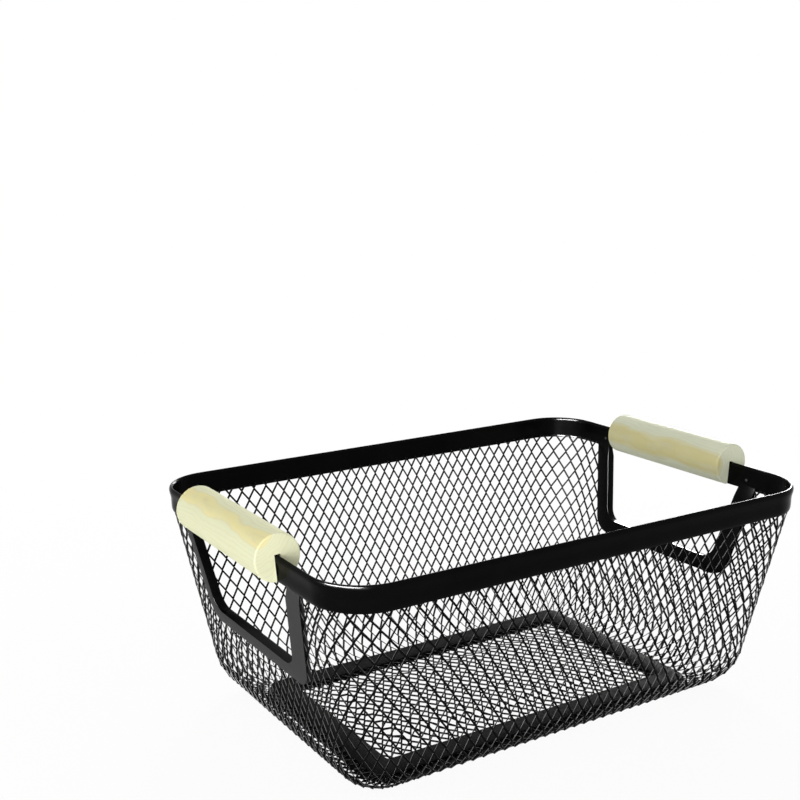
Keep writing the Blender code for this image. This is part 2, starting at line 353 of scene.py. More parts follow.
# Cut edges: a greyer coat, partly because it lies thinner there and partly a painted glint.
edge_thin_coat_and_painted_glint = black_coat("edge_thin_coat_and_painted_glint", grey=0.10, roughness=0.42, specular=0.02)
strip_black = black_coat("strip_black", grey=0.004, roughness=0.45, specular=0.004)
# Outward faces of the frames: a lighter grey, a painted sheen for the bright surroundings they
# reflect.
frame_face_painted_sheen = black_coat("frame_face_painted_sheen", grey=0.045, roughness=0.50, specular=0.01)
weld_grey = black_coat("weld_grey", grey=0.05, roughness=0.50, specular=0.01)
print("coats:", len(bpy.data.materials))

# %% [markdown]
# ## The rim band
#
# On the real basket this is one strip of thin sheet, folded over the top edge of the mesh. Seen
# in section it is an upside-down U. Its top is rolled to a half ellipse, whose tight curve draws
# a thin bright line along the lip, and its outer leg dips in at a shallow waist, which keeps such
# a thin strip stiff.
#
# An inset moves a face's outline inwards by a steady distance, and its depth moves it along the
# normal. A chain of insets on a rounded rectangle is therefore a way to sweep a section round it:
# first down the outer leg, then from the same outline over the roll and down the inner leg. The
# sheet gets its thickness last, with Solidify.

# %% Model the rim band
rim_corner_segments = 16
lip_segments = 12
roll_radius = rim_thickness / 2
roll_rise = 2.2 * millimetre
lip_height = basket_height - roll_rise
outer_leg_steps = (
    (0.15, 1.0),
    (0.65, 2.6),
    (0.15, 2.2),
    (0.03, 2.2),
    (0.12, 2.2),
    (0.30, 1.1),
    (0.25, 0.5),
)


def follow_steps(steps):
    """Insets the selected face again and again: (inwards, along its normal) in millimetres."""
    for inwards, along in steps:
        bpy.ops.mesh.inset(
            thickness=inwards * millimetre, depth=along * millimetre, use_even_offset=True
        )


def rolled_top_steps(segments):
    """The half ellipse over the top of the fold, as inset steps."""
    steps = []
    for step in range(segments):
        before = math.pi * step / segments
        after = math.pi * (step + 1) / segments
        inwards = roll_radius * (math.cos(before) - math.cos(after))
        upwards = roll_rise * (math.sin(after) - math.sin(before))
        steps.append((inwards / millimetre, upwards / millimetre))
    return steps


def make_rim_band():
    """Sweeps the outer leg, then closes a lid over its top edge and sweeps on from that."""
    band = rounded_rectangle(
        "rim_fold", half_length, half_width, rim_radius, lip_height, rim_corner_segments
    )
    edit_mode()
    bpy.ops.mesh.select_all(action="SELECT")
    bpy.ops.mesh.flip_normals()
    follow_steps(outer_leg_steps)
    bpy.ops.mesh.delete(type="ONLY_FACE")
    bpy.ops.mesh.select_mode(type="EDGE")
    bpy.ops.mesh.select_all(action="DESELECT")
    object_mode()
    for edge in band.data.edges:
        ends = [band.data.vertices[index].co for index in edge.vertices]
        edge.select = all(abs(end.z - lip_height) < same_place for end in ends)
    edit_mode()
    bpy.ops.mesh.edge_face_add()
    bpy.ops.mesh.select_mode(type="FACE")
    object_mode()
    lid = max(band.data.polygons, key=lambda face: len(face.vertices))
    if lid.normal.z < 0:
        edit_mode()
        bpy.ops.mesh.flip_normals()
        object_mode()
    edit_mode()
    inner_drop = (rim_inner_drop - roll_rise) / millimetre
    inner_lean = rim_lean / rim_drop * inner_drop
    follow_steps(rolled_top_steps(lip_segments) + [(inner_lean, -inner_drop)])
    bpy.ops.mesh.delete(type="ONLY_FACE")
    bpy.ops.mesh.select_all(action="SELECT")
    bpy.ops.mesh.normals_make_consistent(inside=False)
    object_mode()
    apply_modifier(
        band, "sheet", "SOLIDIFY", thickness=sheet_thickness, offset=-1, use_even_offset=True
    )
    settle(band)
    band.data.materials.append(rim_black)
    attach(band, "root")
    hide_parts("rim_band")
    print("rim band:", len(band.data.polygons), "faces")


make_rim_band()

# %% [markdown]
# ## Spot welds
#
# Spot welds hold the fold on the mesh. One shows from inside, where the leg of an opening's frame
# runs up into the rim: a shallow round bump, where the copper tips have pressed the sheet. The
# upper half of a flattened sphere is modelled once and copied to the four legs. One more ring is
# kept below that half and closed, and it sinks into the sheet, which leans a little.

# %% Model the spot welds
weld_radius = 0.9 * millimetre
weld_rise = 0.2 * millimetre
weld_sink = 0.05 * millimetre
weld_height = 119 * millimetre
weld_half_spacing = 63 * millimetre


def make_weld():
    bpy.ops.mesh.primitive_uv_sphere_add(segments=24, ring_count=12, radius=weld_radius)
    weld = take_new("spot_weld")
    edit_mode()
    bpy.ops.transform.resize(value=(1, 1, weld_rise / weld_radius))
    object_mode()
    delete_faces(weld, lambda centre, normal: centre.z < -weld_sink)
    edit_mode()
    bpy.ops.mesh.select_mode(type="EDGE")
    bpy.ops.mesh.select_non_manifold()
    bpy.ops.mesh.edge_face_add()
    bpy.ops.mesh.select_mode(type="FACE")
    object_mode()
    weld.data.materials.append(weld_grey)
    return weld


def place_weld(pattern, side, end):
    """Copies the weld to the inner leg of the fold, at one end and on one side of its grip."""
    weld = pattern.copy()
    weld.data = pattern.data.copy()
    bpy.context.collection.objects.link(weld)
    weld.name = "spot_weld_" + {-1: "left", 1: "right"}[side] + {-1: "_front", 1: "_back"}[end]
    lean = rim_lean * (basket_height - weld_height) / rim_drop
    weld.rotation_euler = (0, -side * math.pi / 2, 0)
    inner_face = half_length - rim_thickness - lean
    weld.location = (side * inner_face, end * weld_half_spacing, weld_height)
    settle(weld)
    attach(weld, "root")


weld_pattern = make_weld()
for weld_side in (-1, 1):
    for weld_end in (-1, 1):
        place_weld(weld_pattern, weld_side, weld_end)
bpy.data.objects.remove(weld_pattern, do_unlink=True)

# %% [markdown]
# ## A sheet of expanded metal
#
# The machine slits the sheet and pushes each strand down as it stretches, so the sheet ends up as
# diamonds whose strands are tilted like the slats of a blind. One cell is modelled: a circle of
# four points, stretched to a diamond and inset, with its middle deleted. Lifting the lower half
# of the inset and dropping the upper half gives the tilt. Array modifiers then repeat the cell
# into a sheet, and merging by distance joins the half strands of neighbours into whole ones.
#
# The slits leave cut edges, which catch more light than the faces, so a strand shows as a dark
# line with a thin pale one along it. Solidify makes these edges once the sheet is bent, and its
# material offset puts a coat of their own on them. That coat is greyer, partly because the coat
# lies thinner on a cut edge and partly as a painted glint.

# %% Model one cell and repeat it
strand_width = 0.68 * millimetre
strand_thickness = 0.36 * millimetre
strand_tilt = 0.28 * millimetre
strand_crown = 0.05 * millimetre
bond_share = 0.09


def lift_cell(cell, half_high):
    """Tilts every strand, its upper edge outwards, and draws the joints out up and down."""
    for vertex in cell.data.vertices:
        if vertex.index < 4:
            vertex.co.z = strand_crown
        elif vertex.co.y > same_place:
            vertex.co.y -= half_high * bond_share
            vertex.co.z = -strand_tilt
        elif vertex.co.y < -same_place:
            vertex.co.y += half_high * bond_share
            vertex.co.z = strand_tilt


def make_sheet(name, wide, high, columns, rows):
    """A flat sheet of diamonds, with the centre of the first one at the origin."""
    bpy.ops.mesh.primitive_circle_add(vertices=4, radius=1, fill_type="NGON")
    cell = take_new(name)
    edit_mode()
    bpy.ops.transform.resize(value=(wide / 2, high / 2, 1))
    bpy.ops.mesh.inset(thickness=strand_width / 2, depth=0, use_even_offset=True)
    bpy.ops.mesh.delete(type="ONLY_FACE")
    object_mode()
    lift_cell(cell, high / 2)
    steps = ((2, (wide / 2, high / 2, 0)), (columns, (wide, 0, 0)), (rows, (0, high, 0)))
    for count, offset in steps:
        apply_modifier(
            cell,
            "repeat",
            "ARRAY",
            count=count,
            use_relative_offset=False,
            use_constant_offset=True,
            constant_offset_displace=offset,
        )
    edit_mode()
    bpy.ops.mesh.select_all(action="SELECT")
    bpy.ops.mesh.remove_doubles(threshold=same_place)
    object_mode()
    return cell


def thicken_net(net):
    """Gives a shaped sheet its metal: black faces, and greyer cut edges, thin coat and painted
    glint.
    """
    net.data.materials.append(mesh_black)
    net.data.materials.append(edge_thin_coat_and_painted_glint)
    apply_modifier(
        net, "metal", "SOLIDIFY", thickness=strand_thickness, offset=0, material_offset_rim=1
    )
    settle(net)


# %% [markdown]
# ## The wall
#
# A flat sheet is bent round the basket. A point's place along the sheet becomes its place round
# the outline, and its height in the sheet becomes its place up the wall: in under the floor
# strips, round the foot, and up the leaning face into the rim's fold. Bending moves points only,
# so it is written as a formula. The two ends of the sheet meet beside the near right corner, where
# their half diamonds merge into whole ones.

# %% The wall's outline
def outline_point(half_x, half_y, radius, segment, part):
    """A point of a rounded rectangle whose segments 0 to 7 are sides and corners by turns."""
    corner_x = (half_x - radius, radius - half_x, radius - half_x, half_x - radius)
    corner_y = (half_y - radius, half_y - radius, radius - half_y, radius - half_y)
    quarter = segment // 2
    end_x, end_y = corner_x[quarter], corner_y[quarter]
    if segment % 2:
        angle = (quarter + part) * math.pi / 2
        return end_x + radius * math.cos(angle), end_y + radius * math.sin(angle)
    outward_x, outward_y = ((1, 0), (0, 1), (-1, 0), (0, -1))[quarter]
    start_x, start_y = corner_x[quarter - 1], corner_y[quarter - 1]
    x = start_x + (end_x - start_x) * part + radius * outward_x
    y = start_y + (end_y - start_y) * part + radius * outward_y
    return x, y


def place_on_outline(distance, half_x, half_y, radius):
    """Which segment a distance along the outline falls in, and how far along it."""
    side_x = 2 * (half_x - radius)
    side_y = 2 * (half_y - radius)
    corner = radius * math.pi / 2
    lengths = (side_y, corner, side_x, corner) * 2
    left = distance % sum(lengths)
    for segment, length in enumerate(lengths):
        if left <= length:
            return segment, left / length
        left -= length
    return 7, 1


def wall_inset(height):
    """How far the middle of the wall lies inside the rim's outermost outline."""
    if height >= rim_bottom:
        return rim_thickness / 2 + rim_lean * (basket_height - height) / rim_drop
    return rim_thickness / 2 + rim_lean + wall_slope * (rim_bottom - height)


middle_inset = wall_inset((basket_height + wall_floor) / 2)
middle_half_x = half_length - middle_inset
middle_half_y = half_width - middle_inset
middle_radius = (rim_radius + foot_radius) / 2
straight_around = 4 * (middle_half_x + middle_half_y - 2 * middle_radius)
middle_around = straight_around + 2 * math.pi * middle_radius
rounding_length = foot_rounding * math.pi / 2
face_length = (wall_top - rounding_top) / math.cos(wall_angle)
sheet_height = wall_tuck + rounding_length + face_length
print("flat sheet of the wall:", round(middle_around, 4), "by", round(sheet_height, 4))


def wall_point(around_share, up):
    """A point of the wall, at a share of the way round and a distance up the sheet."""
    if up < wall_tuck:
        height, rounding = wall_floor, foot_rounding + wall_tuck - up
    elif up < wall_tuck + rounding_length:
        angle = (up - wall_tuck) / foot_rounding
        height = wall_floor + foot_rounding * (1 - math.cos(angle))
        rounding = foot_rounding * (1 - math.sin(angle))
    else:
        height = rounding_top + (up - wall_tuck - rounding_length) * math.cos(wall_angle)
        rounding = 0
    inset = wall_inset(height) + rounding
    rise_share = (height - wall_floor) / (basket_height - wall_floor)
    radius = foot_radius + (rim_radius - rim_thickness / 2 - foot_radius) * rise_share
    radius += (floor_radius - radius) * min(1, rounding / foot_rounding)
    if rounding > foot_rounding:
        radius = max(floor_radius - (rounding - foot_rounding), tuck_radius)
    distance = middle_around * around_share
    segment, part = place_on_outline(distance, middle_half_x, middle_half_y, middle_radius)
    x, y = outline_point(half_length - inset, half_width - inset, radius, segment, part)
    return Vector((x, y, height))


def wall_place(around_share, up, outwards):
    """The same point, moved out along the wall's normal."""
    step = 0.2 * millimetre
    here = wall_point(around_share, up)
    along = wall_point(around_share + step / middle_around, up) - wall_point(
        around_share - step / middle_around, up
    )
    rising = wall_point(around_share, up + step) - wall_point(around_share, up - step)
    return here + along.cross(rising).normalized() * outwards


# %% [markdown]
# The net doesn't bend like paper. Round a corner it has to open, so its diamonds widen there,
# most of all towards the top, and its rows hang a few millimetres lower. The net also sits
# slightly askew. All three were measured on the photograph, by laying the wall out flat.
#
# Pressing the foot into its curve twists the strands further on edge, which makes the net look
# denser there. Where a fold or a strip clamps the net, its strands are pressed nearly flat. So
# one number, the looseness, says how much of the sheet's tilt is left at each point.

# %% How forming moves the net
column_twist = 0.05
corner_opening = 0.08
corner_opening_rise = 0.001 / millimetre
opening_level = 120 * millimetre
corner_sag = 5 * millimetre
sag_reach = 90 * millimetre


def from_side_middle(distance):
    """How far round from the middle of its side a point lies, and the pitch of corner middles."""
    side_x = 2 * (middle_half_x - middle_radius)
    side_y = 2 * (middle_half_y - middle_radius)
    corner = middle_radius * math.pi / 2
    pitches = (side_y + corner, side_x + corner) * 2
    left = (distance + corner / 2) % sum(pitches)
    for pitch in pitches:
        if left <= pitch:
            return left - pitch / 2, pitch
        left -= pitch
    return 0, pitches[0]


def formed_place(x, y):
    """Where a point of the flat sheet ends up: its share of the way round, and its place up."""
    offset, pitch = from_side_middle(x)
    to_corner = pitch / 2 - abs(offset)
    if to_corner < sag_reach:
        y -= corner_sag * (1 + math.cos(math.pi * to_corner / sag_reach)) / 2
    opening = corner_opening + corner_opening_rise * (y - opening_level)
    x -= opening * pitch / (2 * math.pi) * math.sin(2 * math.pi * offset / pitch)
    x -= column_twist * (y - sheet_height / 2)
    return x / middle_around, y


# %% The hand opening's outline
clamp_reach = 4 * millimetre
clamp_margin = 1.5 * millimetre
top_of_opening = (rim_bottom - opening_bottom) / math.cos(wall_angle)
opening_slant = (opening_top_width - opening_bottom_width) / 2 / top_of_opening


def opening_half_width(up, spread):
    """Half the hand opening's width at a distance up the wall, its outline spread outwards."""
    return opening_bottom_width / 2 + opening_slant * up + spread * math.hypot(1, opening_slant)


def beyond_opening(point):
    """How far a point lies outside the hand openings, which are in the end walls only."""
    if abs(point.x) < strip_half_length:
        return basket_height
    above = point.z - opening_bottom
    return max(-above, abs(point.y) - opening_half_width(above / math.cos(wall_angle), 0))


def eased(distance, reach):
    """Rises from 0 to 1 over a reach, gently at both ends."""
    share = min(1, max(0, distance / reach))
    return share * share * (3 - 2 * share)


def looseness(point, up):
    """1 where the net is free, less where a fold or a strip clamps it, and more at the foot."""
    below_rim = rim_bottom - point.z
    above_strips = up - wall_tuck
    outside_frame = beyond_opening(point) - frame_strip_width + clamp_margin
    free = eased(min(below_rim, above_strips, outside_frame), clamp_reach)
    foot = foot_twist * eased(rounding_top + foot_rounding / 2 - point.z, foot_rounding)
    return clamped_share + (1 + foot - clamped_share) * free


# %% Bend the sheet round the basket
wall_columns = 126
wall_diamond_high = 12.6 * millimetre
net_cut_share = 0.4
clamped_share = 0.4
foot_twist = 1.6


def make_wall_mesh():
    wide = middle_around / wall_columns
    rows = math.ceil(sheet_height / wall_diamond_high) + 1
    wall = make_sheet("wall_net", wide, wall_diamond_high, wall_columns, rows)

    def unwanted(centre, normal):
        around_share, up = formed_place(centre.x, centre.y)
        if up < 0 or up > sheet_height:
            return True
        return beyond_opening(wall_point(around_share, up)) < frame_strip_width * net_cut_share

    removed = delete_faces(wall, unwanted)
    for vertex in wall.data.vertices:
        around_share, up = formed_place(vertex.co.x, vertex.co.y)
        up = min(max(up, 0), sheet_height)
        lift = vertex.co.z * looseness(wall_point(around_share, up), up)
        vertex.co = wall_place(around_share, up, lift)
    edit_mode()
    bpy.ops.mesh.select_all(action="SELECT")
    bpy.ops.mesh.remove_doubles(threshold=same_place)
    bpy.ops.mesh.normals_make_consistent(inside=False)
    object_mode()
    thicken_net(wall)
    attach(wall, "root")
    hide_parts("wall_mesh")
    print("wall:", len(wall.data.polygons), "faces,", removed, "cut away")


make_wall_mesh()

# %% [markdown]
# ## The floor mesh
#
# The floor is a smaller sheet of the same metal. A press lifts its middle by a few millimetres,
# which stiffens it and keeps it from drumming. The sheet stays flat under the strips, climbs over
# a narrow slope and is flat again.

# %% Model the floor mesh
plateau_margin = 20 * millimetre
plateau_slope = 5 * millimetre
plateau_height = 2 * millimetre
floor_diamond_wide = 6.05 * millimetre
floor_diamond_high = 9.8 * millimetre
floor_trim = 1.5 * millimetre


def make_base_mesh():
    half_x, half_y = base_corner.x, base_corner.y
    columns = math.ceil(2 * half_x / floor_diamond_wide)
    rows = math.ceil(2 * half_y / floor_diamond_high) + 1
    base = make_sheet("floor_net", floor_diamond_wide, floor_diamond_high, columns, rows)
    edit_mode()
    bpy.ops.mesh.select_all(action="SELECT")
    shift = (-columns * floor_diamond_wide / 2, -rows * floor_diamond_high / 2, base_floor)
    bpy.ops.transform.translate(value=shift)
    object_mode()

    def unwanted(centre, normal):
        return abs(centre.x) > half_x - floor_trim or abs(centre.y) > half_y - floor_trim

    delete_faces(base, unwanted)
    plateau_x = strip_half_length - strip_width - plateau_margin
    plateau_y = strip_half_width - strip_width - plateau_margin
    for vertex in base.data.vertices:
        inside = min(plateau_x - abs(vertex.co.x), plateau_y - abs(vertex.co.y))
        free = eased(inside + plateau_margin, clamp_reach)
        lift = (vertex.co.z - base_floor) * (clamped_share + (1 - clamped_share) * free)
        rise = plateau_height * eased(inside + plateau_slope, plateau_slope)
        vertex.co.z = base_floor + lift + rise
    thicken_net(base)
    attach(base, "root")
    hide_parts("base_mesh")
    print("floor mesh:", len(base.data.polygons), "faces")


make_base_mesh()

# %% [markdown]
# ## The floor strips
#
# Two flat rings of strip clamp the wall's turned-in edge and the floor's edge, and the lower one
# is what the basket stands on: it reaches a little beyond the upper one, and its corners are
# wider. The inner corners of each ring are tighter than its outer ones, so an inset can't make
# it: two outlines are drawn, each with its own corners, and bridged. Then the sheet gets its
# thickness, and its edges are eased.

# %% Model the floor strips
corner_segments = 10
strip_easing = 0.2 * millimetre
lower_strip_overhang = 4 * millimetre
lower_strip_radius = 18 * millimetre


def strip_outline(name, spread, radius, height):
    """The upper strip's outer outline, spread outwards."""
    half_x, half_y = strip_half_length + spread, strip_half_width + spread
    return rounded_rectangle(name, half_x, half_y, radius, height, corner_segments)


def make_floor_strip(name, node, height, overhang, radius):
    """Solidify works along the normals, so its offset follows the way the bridged ring faces."""
    outer = strip_outline(name, overhang, radius, height)
    strip = bridge_outlines(outer, strip_outline("inner", -strip_width, strip_inner_radius, height))
    upwards = sum(face.normal.z for face in strip.data.polygons)
    apply_modifier(
        strip, "sheet", "SOLIDIFY", thickness=strip_thickness, offset=math.copysign(1, upwards)
    )
    apply_modifier(strip, "ease", "BEVEL", width=strip_easing, segments=2, limit_method="ANGLE")
    settle(strip)
    strip.data.materials.append(strip_black)
    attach(strip, "root")
    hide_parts(node)
    print(name, "is", strip.dimensions.x, "by", strip.dimensions.y)


make_floor_strip(
    "floor_strip_lower", "base_strip_lower", 0, lower_strip_overhang, lower_strip_radius
)
make_floor_strip("floor_strip_upper", "base_strip_upper", strip_low.z, 0, floor_radius)

# %% [markdown]
# ## The frames of the hand openings
#
# The cut mesh would scratch a hand, so a strip is folded over its edge into a channel that is
# deeper than the rim. Seen from the end it is a U with slanting arms. Two outlines are drawn in
# the wall's plane, each a trapezoid with its lower corners bevelled round, and bridged into the
# flat strip. Solidify draws it out by the channel's depth, the walls on its outer side are
# deleted, and the two legs that are left close onto the mesh. The ends are pinched, because they
# go up into the rim's fold.

# %% Outlines in the end wall's plane
pinch_length = 5 * millimetre
tongue_length = 4 * millimetre
pinched_share = 0.3
closed_share = 0.45
fold_easing = 0.35 * millimetre
opening_corner_turn = math.pi / 2 - math.atan(opening_slant)


def wall_plane(side):
    """Local X is out through an end wall, Y along it and Z up it, from the opening's lower edge."""
    x = half_length - wall_inset(opening_bottom)
    place = Matrix.Translation((x, 0, opening_bottom)) @ Matrix.Rotation(wall_angle, 4, "Y")
    if side < 0:
        return Matrix.Rotation(math.pi, 4, "Z") @ place
    return place


def opening_outline(name, spread, spread_below, radius):
    """A flat trapezoid round the opening, spread outwards, its lower corners bevelled round."""
    bpy.ops.mesh.primitive_plane_add(size=2, rotation=(math.pi / 2, 0, math.pi / 2))
    outline = take_new(name)
    bpy.ops.object.transform_apply(rotation=True)
    for vertex in outline.data.vertices:
        lower = vertex.co.z < 0
        up = -spread_below if lower else top_of_opening + frame_strip_width + spread
        vertex.co = (0, math.copysign(opening_half_width(up, spread), vertex.co.y), up)
        vertex.select = lower
    for edge in outline.data.edges:
        edge.select = all(outline.data.vertices[index].select for index in edge.vertices)
    for face in outline.data.polygons:
        face.select = False
    edit_mode()
    bpy.ops.mesh.select_mode(type="VERT")
    setback = radius * math.tan(opening_corner_turn / 2)
    bpy.ops.mesh.bevel(offset=setback, segments=corner_segments, affect="VERTICES")
    bpy.ops.mesh.select_mode(type="FACE")
    object_mode()
    return outline


def flat_opening_frame(name):
    """The strip's flat shape, cut at the top and with a loop where the pinch starts."""
    outer = opening_outline(name, frame_strip_width, frame_bottom_width, frame_corner_radius)
    strip = bridge_outlines(outer, opening_outline("inner", 0, 0, opening_radius))
    edit_mode()
    pinch_start = top_of_opening - pinch_length
    tongue_end = top_of_opening + tongue_length
    for up, cut_above in ((pinch_start, False), (tongue_end, True)):
        bpy.ops.mesh.select_all(action="SELECT")
        bpy.ops.mesh.bisect(plane_co=(0, 0, up), plane_no=(0, 0, 1), clear_outer=cut_above)
    object_mode()
    return strip


# %% Model the opening frames
def make_opening_frame(name, node, side):
    strip = flat_opening_frame(name)
    apply_modifier(strip, "depth", "SOLIDIFY", thickness=frame_depth - sheet_thickness, offset=0)

    def beyond_strip(point):
        outside = opening_half_width(point.z, frame_strip_width / 2)
        return abs(point.y) > outside or point.z < -frame_bottom_width / 2

    def open_side(centre, normal):
        """The walls between the two flat sides, beyond the strip's middle and at its ends."""
        if abs(normal.x) > 0.5:
            return False
        return beyond_strip(centre) or centre.z > top_of_opening + tongue_length / 2

    delete_faces(strip, open_side)
    for vertex in strip.data.vertices:
        if beyond_strip(vertex.co):
            vertex.co.x *= closed_share
        if vertex.co.z > top_of_opening:
            vertex.co.x *= pinched_share
            vertex.co.x -= (vertex.co.z - top_of_opening) * (wall_slope - rim_lean / rim_drop)
    apply_modifier(
        strip, "sheet", "SOLIDIFY", thickness=sheet_thickness, offset=0, use_even_offset=True
    )
    apply_modifier(strip, "fold", "BEVEL", width=fold_easing, segments=3, limit_method="ANGLE")
    strip.matrix_world = wall_plane(side)
    settle(strip)
    strip.data.materials.append(rim_black)
    strip.data.materials.append(frame_face_painted_sheen)
    # Faces that face out of the basket get the lighter grey, a painted sheen standing in for the
    # bright surroundings they reflect; the rest keeps the rim's black.
    for face in strip.data.polygons:
        takes_painted_sheen = face.normal.x * side > 0.8
        face.material_index = 1 if takes_painted_sheen else 0
    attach(strip, "root")
    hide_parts(node)
    print(name, "has", len(strip.data.polygons), "faces")


make_opening_frame("opening_fold_left", "window_frame_left", -1)
make_opening_frame("opening_fold_right", "window_frame_right", 1)

# %% [markdown]
# ## The wood
#
# The grips are turned from a pale softwood, with a broad yellow streak where the dowel runs
# along the edge of the heart. Year rings are circles round the heart, which lies outside the
# dowel. So one measure, the distance from the heart, makes the streak, the fine lines along the
# side and the arcs on the end. A noise that is stretched along the grain bends them all.

# %% A node group for wood grain
ring_bend = 9 * millimetre
ring_pitch = 2.2 * millimetre
ring_sharpness = 4
ring_strength = 0.35
patch_contrast = 0.9
patch_base = 0.45


def stretched_noise(nodes, links, vector, scale, detail, along):
    """Noise drawn out along the dowel, which lies along Y."""
    stretch = nodes.new("ShaderNodeMapping")
    stretch.inputs["Scale"].default_value = (1, along, 1)
    links.new(vector, stretch.inputs["Vector"])
    return noise_node(nodes, links, stretch.outputs["Vector"], scale, detail)


def make_grain_group():
    places = {"Vector": "Vector", "Heart": "Vector"}
    lengths = {"Heart Reach": "Float", "Softness": "Float"}
    colours = {"Pale": "Color", "Streak": "Color", "Ring": "Color"}
    group = new_group(
        "wood_grain",
        inputs=places | lengths | colours,
        outputs={"Colour": "Color", "Height": "Float"},
    )
    nodes, links = group.nodes, group.links
    given = nodes.new("NodeGroupInput").outputs
    outputs = nodes.new("NodeGroupOutput")
    vector = given["Vector"]

    from_heart = vector_node(nodes, links, "SUBTRACT", vector, given["Heart"])
    across = vector_node(nodes, links, "MULTIPLY", from_heart, (1, 0, 1))
    radius = vector_node(nodes, links, "LENGTH", across)

    bend = stretched_noise(nodes, links, vector, scale=90, detail=3, along=0.35)
    bend = math_node(nodes, links, "SUBTRACT", bend, 0.5)
    distance = math_node(nodes, links, "MULTIPLY_ADD", bend, ring_bend, radius)

    edge = math_node(nodes, links, "SUBTRACT", given["Heart Reach"], distance)
    streak = nodes.new("ShaderNodeMapRange")
    links.new(edge, streak.inputs["Value"])
    links.new(given["Softness"], streak.inputs["From Max"])
    patches = stretched_noise(nodes, links, vector, scale=220, detail=2, along=0.25)
    patches = math_node(nodes, links, "MULTIPLY_ADD", patches, patch_contrast, patch_base)
    patches = math_node(nodes, links, "MINIMUM", patches, 1)
    strength = math_node(nodes, links, "MULTIPLY", streak.outputs["Result"], patches)

    year = math_node(nodes, links, "MULTIPLY", distance, 2 * math.pi / ring_pitch)
    year = math_node(nodes, links, "SINE", year)
    year = math_node(nodes, links, "MULTIPLY_ADD", year, 0.5, 0.5)
    year = math_node(nodes, links, "POWER", year, ring_sharpness)
    fibres = stretched_noise(nodes, links, vector, scale=1500, detail=3, along=0.03)
    lines = math_node(nodes, links, "MULTIPLY", year, fibres)
    lines = math_node(nodes, links, "MULTIPLY", lines, ring_strength)

    colour = mix_colours(nodes, links, strength, given["Pale"], given["Streak"])
    colour = mix_colours(nodes, links, lines, colour, given["Ring"])
    links.new(colour, outputs.inputs["Colour"])
    links.new(fibres, outputs.inputs["Height"])
    return group


wood_grain = make_grain_group()
print("wood grain:", len(wood_grain.nodes), "nodes")

# %% A wood for each grip
pattern_shift = 0.3
wood_roughness = 0.55
wood_specular = 0.01
fibre_strength = 0.12
fibre_depth = 0.1 * millimetre


def grip_wood(name, side, heart_angle, heart_reach, softness, slope, colours):
    """The heart's angle is counted round the dowel, from straight up towards the outside."""
    material, nodes, links = new_material(name)
    surface = nodes["Principled BSDF"]
    place = nodes.new("ShaderNodeTexCoord")
    centred = nodes.new("ShaderNodeMapping")
    shift = (-side * grip_centre.x, side * pattern_shift, -grip_centre.z)
    centred.inputs["Location"].default_value = shift
    centred.inputs["Rotation"].default_value = (math.radians(slope), 0, 0)
    links.new(place.outputs["Object"], centred.inputs["Vector"])
    grain = nodes.new("ShaderNodeGroup")
    grain.node_tree = wood_grain
    angle = math.radians(heart_angle)
    heart_distance = 2 * grip_radius
    heart = (side * heart_distance * math.sin(angle), 0, heart_distance * math.cos(angle))
    grain.inputs["Heart"].default_value = heart
    grain.inputs["Heart Reach"].default_value = heart_reach
    grain.inputs["Softness"].default_value = softness
    for socket, colour in zip(("Pale", "Streak", "Ring"), colours):
        grain.inputs[socket].default_value = (*colour, 1)
    links.new(centred.outputs["Vector"], grain.inputs["Vector"])
    links.new(grain.outputs["Colour"], surface.inputs["Base Color"])
    surface.inputs["Roughness"].default_value = wood_roughness
    surface.inputs["Specular IOR Level"].default_value = wood_specular
    add_bump(nodes, links, grain.outputs["Height"], surface, fibre_strength, fibre_depth)
    return material


left_wood = grip_wood(
    "left_grip_wood",
    side=-1,
    heart_angle=35,
    heart_reach=14.4 * millimetre,
    softness=1.2 * millimetre,
    slope=0,
    colours=((0.76, 0.77, 0.52), (0.82, 0.75, 0.38), (0.62, 0.52, 0.34)),
)
right_wood = grip_wood(
    "right_grip_wood",
    side=1,
    heart_angle=-80,
    heart_reach=16.8 * millimetre,
    softness=2.5 * millimetre,
    slope=-2.6,
    colours=((0.63, 0.65, 0.49), (0.58, 0.53, 0.26), (0.46, 0.42, 0.28)),
)
print("woods:", left_wood.name, right_wood.name)

# %% [markdown]
# ## The grips
#
# Each grip is a length of dowel with a slot sawn in from below, pushed down over the rim band. A
# cylinder is given rounded ends by bevelling its end edges, and a Boolean saws the slot, which
# leans with the band. Smooth shading would bend the light over the flat ends too, so Weighted
# Normal hands each edge's normals to the larger face beside it.

# %% Model the grips
grip_sides = 96
end_easing = 1.0 * millimetre
slot_easing = 0.25 * millimetre
slot_edge_turn = math.radians(50)


def make_slot_cutter(side):
    depth = rim_drop + clearance + grip_radius
    middle = basket_height + clearance - depth / 2
    lean = rim_lean * (basket_height - middle) / rim_drop
    bpy.ops.mesh.primitive_cube_add(size=1)
    cutter = take_new("slot_cutter")
    cutter.scale = (rim_thickness + 2 * clearance, grip_length * 1.2, depth)
    cutter.rotation_euler = (0, side * math.atan(rim_lean / rim_drop), 0)
    cutter.location = (side * (half_length - rim_thickness / 2 - lean), 0, middle)
    return cutter


